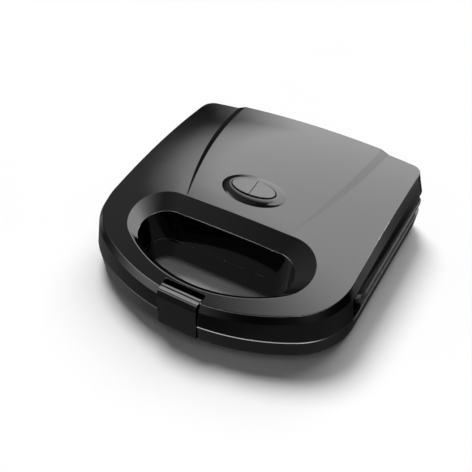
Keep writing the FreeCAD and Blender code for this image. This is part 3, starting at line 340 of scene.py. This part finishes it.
# the wide light behind: its right edge, its rise with height, and its left edge, which bends
# outwards with height and gets softer near the top
WIDE_STRENGTH = 6.2
WIDE_RIGHT = (30.0, 50.0)
WIDE_RISE = (-4.0, 57.0)
WIDE_RISE_POWER = 0.45
WIDE_LEFT = -60.0
BEND = 0.0136
BEND_TOP, BEND_LIMIT = 75.0, 48.5
SOFTER = (50.0, 66.0)
DARK_SIDE, DARK_SIDE_SOFTER = -6.0, 5.0
BRIGHT_SIDE, BRIGHT_SIDE_SOFTER = 7.0, 13.0

# round lights: low in front on the left, on the right, small and bright behind, and dim in front
SOFT_BOXES = (
    {"place": (-134.0, 15.0), "size": (18.0, 13.0), "strength": 4.0},
    {"place": (122.0, 34.0), "size": (26.0, 13.0), "strength": 2.4},
    {"place": (44.0, 27.0), "size": (8.0, 10.0), "strength": 14.0},
    {"place": (-162.0, 8.0), "size": (14.0, 13.0), "strength": 0.7},
)

# a dim glow low behind, which upright walls mirror
GLOW_REAR = (-0.3, 0.2)
GLOW_STARTS = (-24.0, -18.0)
GLOW_ENDS = (-8.0, -2.0)
GLOW_STRENGTH = 0.6

# a narrow bar across the front, mostly mirrored by the rounded edges
BAR_ELEVATION, BAR_SPREAD = 36.0, 5.0
BAR_FRONT = (0.15, 0.5)
BAR_STRENGTH = 16.0

# the dim room: a little light high on the left, and from the floor
ROOM_LEFT = (0.1, 0.6)
ROOM_LEVELS = (0.1, 0.55)
ROOM_ABOVE = (22.0, 44.0)
ROOM_LOW = 0.12
FLOOR_BELOW = (-22.0, -27.0)
FLOOR_STRENGTH = 0.16
FLOOR_FRONT = (0.5, 0.0)
FLOOR_BEHIND = 0.2


def wide_light(graph, azimuth, elevation, level):
    """The large light behind; level turns a difference of azimuth into its true width."""
    drop = graph.math("MINIMUM", graph.minus(BEND_TOP, elevation), BEND_LIMIT)
    edge = graph.plus(graph.times(drop, drop, BEND), WIDE_LEFT)
    inside = graph.times(graph.minus(azimuth, edge), level)
    softer = graph.span(elevation, *SOFTER)
    dark_side = graph.minus(DARK_SIDE, graph.times(softer, DARK_SIDE_SOFTER))
    bright_side = graph.plus(graph.times(softer, BRIGHT_SIDE_SOFTER), BRIGHT_SIDE)
    left = graph.span(inside, dark_side, bright_side, smooth=True)
    right = graph.span(graph.times(azimuth, level), *WIDE_RIGHT, 1.0, 0.0, smooth=True)
    rise = graph.math("POWER", graph.span(elevation, *WIDE_RISE), WIDE_RISE_POWER)
    return graph.times(left, right, rise, WIDE_STRENGTH)


def soft_box(graph, azimuth, elevation, place, size, strength):
    """Round soft light; place is its azimuth and elevation, size its spread each way."""
    turn = graph.math("WRAP", graph.minus(azimuth, place[0]), HALF_TURN, -HALF_TURN)
    across = graph.math("DIVIDE", turn, size[0])
    up = graph.math("DIVIDE", graph.minus(elevation, place[1]), size[1])
    return graph.times(graph.hill(across, up), strength)


def rear_glow(graph, y, elevation):
    starts = graph.span(elevation, *GLOW_STARTS)
    ends = graph.span(elevation, *GLOW_ENDS, 1.0, 0.0)
    return graph.times(graph.span(y, *GLOW_REAR, out_high=GLOW_STRENGTH), starts, ends)


def edge_bar(graph, y, elevation):
    height = graph.math("DIVIDE", graph.minus(elevation, BAR_ELEVATION), BAR_SPREAD)
    front = graph.span(graph.times(y, -1.0), *BAR_FRONT, out_high=BAR_STRENGTH)
    return graph.times(graph.hill(height), front)


def dim_room(graph, x, y, elevation):
    room = graph.span(graph.times(x, -1.0), *ROOM_LEFT, *ROOM_LEVELS)
    above = graph.span(elevation, *ROOM_ABOVE, ROOM_LOW, 1.0)
    below = graph.span(elevation, *FLOOR_BELOW, out_high=FLOOR_STRENGTH)
    floor = graph.times(below, graph.span(y, *FLOOR_FRONT, FLOOR_BEHIND, 1.0))
    return graph.plus(graph.times(room, above), floor)


def background(graph, strength):
    node = graph.add("ShaderNodeBackground")
    graph.put(node.inputs["Strength"], strength)
    return node


def choice(graph, share, first, second):
    """The first shader where share is 0, and the second where it is 1."""
    node = graph.add("ShaderNodeMixShader")
    for socket, value in zip(node.inputs, (share, first.outputs[0], second.outputs[0])):
        graph.put(socket, value)
    return node


def studio_world():
    """White backdrop, dim even fill, and a dark studio that the plastic mirrors with its lights."""
    world = bpy.data.worlds.new("studio")
    world.use_nodes = True
    scene.world = world
    graph = Graph(world.node_tree)
    split = graph.add("ShaderNodeSeparateXYZ")
    graph.put(split.inputs[0], graph.add("ShaderNodeTexCoord").outputs["Generated"])
    x, y, z = split.outputs
    azimuth = graph.math("DEGREES", graph.math("ARCTAN2", x, y))
    elevation = graph.math("DEGREES", graph.math("ARCSINE", z))
    level = graph.math("SQRT", graph.math("SUBTRACT", 1.0, graph.times(z, z), clamp=True))

    boxes = [soft_box(graph, azimuth, elevation, **box) for box in SOFT_BOXES]
    total = graph.plus(wide_light(graph, azimuth, elevation, level), *boxes,
                       rear_glow(graph, y, elevation), edge_bar(graph, y, elevation),
                       dim_room(graph, x, y, elevation))
    backdrop = background(graph, 1.0)
    graph.put(backdrop.inputs["Color"], WHITE)
    rays = graph.add("ShaderNodeLightPath").outputs
    unseen = choice(graph, rays["Is Glossy Ray"], background(graph, FILL), background(graph, total))
    seen = choice(graph, rays["Is Camera Ray"], unseen, backdrop)
    graph.put(graph.add("ShaderNodeOutputWorld").inputs["Surface"], seen.outputs[0])


def sun(name, azimuth, elevation, strength, spread):
    """Soft distant light that comes from a compass direction; it isn't mirrored in the plastic."""
    light = bpy.data.lights.new(name, "SUN")
    light.energy = strength
    light.angle = math.radians(spread)
    item = bpy.data.objects.new(name, light)
    a, e = math.radians(azimuth), math.radians(elevation)
    source = Vector((math.sin(a) * math.cos(e), math.cos(a) * math.cos(e), math.sin(e)))
    item.rotation_mode = "QUATERNION"
    item.rotation_quaternion = source.to_track_quat("Z", "Y")
    item.visible_glossy = False
    scene.collection.objects.link(item)


FLOOR_REACH = 4.0
FLOOR_GREYS = ((0.84, 0.84, 0.84), (0.86, 0.86, 0.86))


def floor_finish(graph, place, shader):
    grain = graph.noise(place, scale=3.0)
    grey = graph.ramp(grain, (NOISE_LOW, NOISE_HIGH), FLOOR_GREYS)
    graph.put(shader.inputs["Base Color"], grey)
    shader.inputs["Roughness"].default_value = 0.9
    shader.inputs["Specular IOR Level"].default_value = 0.0


def pale_floor():
    """Plain pale floor under the appliance."""
    mesh = bpy.data.meshes.new("floor")
    signs = ((-1, -1), (1, -1), (1, 1), (-1, 1))
    corners = [(sx * FLOOR_REACH, sy * FLOOR_REACH, 0.0) for sx, sy in signs]
    mesh.from_pydata(corners, [], [(0, 1, 2, 3)])
    item = bpy.data.objects.new("floor", mesh)
    scene.collection.objects.link(item)
    mesh.materials.append(surface("floor_finish", floor_finish))
    item.visible_glossy = False


studio_world()
sun("sun_left", azimuth=-42.0, elevation=53.0, strength=3.0, spread=24.0)
sun("sun_back", azimuth=0.0, elevation=44.0, strength=1.3, spread=40.0)
pale_floor()
